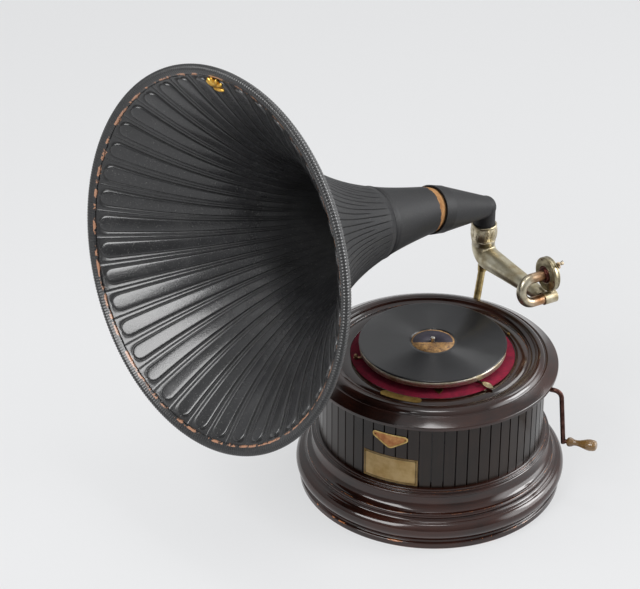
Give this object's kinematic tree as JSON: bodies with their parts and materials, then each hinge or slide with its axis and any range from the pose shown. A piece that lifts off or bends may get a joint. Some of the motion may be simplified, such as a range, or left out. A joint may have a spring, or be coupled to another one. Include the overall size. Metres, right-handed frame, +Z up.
{
  "type": "horn gramophone",
  "caption": "Table gramophone with a round slatted case, fluted black horn on a swivelling elbow, swinging tone arm with fold-back soundbox, turntable with record, hand crank and spring motor.",
  "frame": {"origin": "centre of the case's underside, on the turntable axis", "axes": "+Z up along the spindle, front of the case towards -Y, crank towards +X"},
  "size_m": [0.8334, 0.749, 0.8341],
  "materials": {
    "lacquered_wood": "dark red-brown lacquer, worn at the edges",
    "plain_wood": "bare",
    "velvet": "crimson pile",
    "felt": "matt",
    "aged_brass": "dull, aged",
    "bracket_brass": "worn plating",
    "worn_nickel": "worn nickel plating",
    "copper_nickel": "plating worn to the copper",
    "motor_iron": "black enamel",
    "gear_brass": "cut brass",
    "shaft_steel": "ground",
    "spring_steel": "blued",
    "dark_steel": "browned",
    "grip_wood": "varnished",
    "shellac": "grooved",
    "label_paper": "printed two-tone, bare",
    "gasket_rubber": "matt",
    "mica": "cloudy",
    "black_horn": "black lacquered paper pulp",
    "tan_pulp": "bare paper pulp",
    "gilt": "gilt"
  },
  "bodies": {
    "case": {"base_moulding": "lacquered_wood", "bottom_board": "plain_wood", "case_shell": "lacquered_wood", "case_slats": "lacquered_wood", "top_moulding": "lacquered_wood", "motor_board": "lacquered_wood", "velvet_disc": "velvet", "top_plate": "aged_brass", "fan_badge": "aged_brass", "side_plate": "aged_brass", "plate_pins": "aged_brass", "crank_escutcheon": "dark_steel", "crank_bearing": "motor_iron", "bracket_foot": "bracket_brass", "bracket_arm": "bracket_brass", "bracket_screws": "bracket_brass", "horn_collar": "worn_nickel", "motor_top_plate": "motor_iron", "motor_bottom_plate": "motor_iron", "motor_pillars": "gear_brass", "speed_pointer": "aged_brass", "board_peg": "aged_brass"},
    "turntable": {"platter": "worn_nickel", "spindle": "shaft_steel", "spindle_wheel": "gear_brass", "platter_felt": "felt", "record": "shellac", "record_label": "label_paper"},
    "barrel": {"spring_barrel": "gear_brass", "mainspring": "spring_steel"},
    "winder": {"barrel_arbor": "shaft_steel", "winding_wheel": "gear_brass"},
    "middle_wheel": {"inter_arbor": "shaft_steel", "inter_wheel": "gear_brass"},
    "governor": {"governor_shaft": "shaft_steel", "governor_weights": "gear_brass", "governor_springs": "spring_steel", "governor_disc": "gear_brass"},
    "crank": {"crank_rod": "dark_steel", "crank_pinion": "shaft_steel"},
    "grip": {"crank_grip": "grip_wood"},
    "tone_arm": {"tone_arm_tube": "worn_nickel", "tone_arm_ferrule": "worn_nickel"},
    "gooseneck": {"gooseneck_tube": "copper_nickel", "soundbox_body": "copper_nickel", "soundbox_gasket": "gasket_rubber", "diaphragm": "mica", "needle_arm": "copper_nickel", "needle": "shaft_steel"},
    "needle_clamp": {"needle_screw": "copper_nickel"},
    "brake": {"brake_lever": "copper_nickel"},
    "speed": {"speed_lever": "worn_nickel"},
    "horn": {"horn_elbow": "black_horn", "joint_band": "tan_pulp", "horn_neck": "black_horn", "bell_throat": "black_horn", "bell_middle": "black_horn", "bell_flare": "black_horn", "horn_rim": "black_horn", "horn_ornament": "gilt"}
  },
  "joints": [
    {"name": "turntable_spin", "type": "hinge", "parent": "case", "child": "turntable", "pos_m": [0, 0, 0.25], "axis": [0, 0, 1], "continuous": true},
    {"name": "middle_spin", "type": "hinge", "parent": "case", "child": "middle_wheel", "pos_m": [0.0302, -0.02919, 0.18], "axis": [0, 0, 1], "continuous": true},
    {"name": "barrel_spin", "type": "hinge", "parent": "case", "child": "barrel", "pos_m": [0.072, 0.005, 0.17], "axis": [0, 0, 1], "continuous": true},
    {"name": "governor_spin", "type": "hinge", "parent": "case", "child": "governor", "pos_m": [-0.042, 0, 0.18], "axis": [0, 0, 1], "continuous": true},
    {"name": "crank_spin", "type": "hinge", "parent": "case", "child": "crank", "pos_m": [0.1, 0.005, 0.22], "axis": [1, 0, 0], "continuous": true},
    {"name": "winder_spin", "type": "hinge", "parent": "case", "child": "winder", "pos_m": [0.072, 0.005, 0.2], "axis": [0, 0, 1], "continuous": true},
    {"name": "grip_spin", "type": "hinge", "parent": "crank", "child": "grip", "pos_m": [0.23637, 0.005, 0.12337], "axis": [0.9962, 0, 0.0872], "continuous": true},
    {"name": "tone_arm_swing", "type": "hinge", "parent": "case", "child": "tone_arm", "pos_m": [0, 0.24545, 0.3], "axis": [0, 0, 1], "range_deg": [-48, 20]},
    {"name": "gooseneck_flip", "type": "hinge", "parent": "tone_arm", "child": "gooseneck", "pos_m": [0.14958, 0.14532, 0.306], "axis": [0.6129, 0.7902, 0], "range_deg": [0, 101.5]},
    {"name": "needle_screw_turn", "type": "hinge", "parent": "gooseneck", "child": "needle_clamp", "pos_m": [0.16912, 0.14712, 0.37642], "axis": [0.6129, 0.7902, 0], "range_deg": [-90, 90]},
    {"name": "brake_turn", "type": "hinge", "parent": "case", "child": "brake", "pos_m": [-0.08229, -0.04944, 0.24], "axis": [0, 0, 1], "range_deg": [-12, 12]},
    {"name": "speed_turn", "type": "hinge", "parent": "case", "child": "speed", "pos_m": [0.08476, -0.04507, 0.24], "axis": [0, 0, 1], "range_deg": [-15, 15]},
    {"name": "horn_swivel", "type": "hinge", "parent": "case", "child": "horn", "pos_m": [0, 0.24545, 0.36], "axis": [0, 0, 1], "continuous": true}
  ],
  "couplings": [
    {"joint": "middle_spin", "follows": "turntable_spin", "ratio": -0.16667},
    {"joint": "barrel_spin", "follows": "turntable_spin", "ratio": 0.020833},
    {"joint": "governor_spin", "follows": "turntable_spin", "ratio": -6},
    {"joint": "winder_spin", "follows": "crank_spin", "ratio": 0.26667}
  ]
}
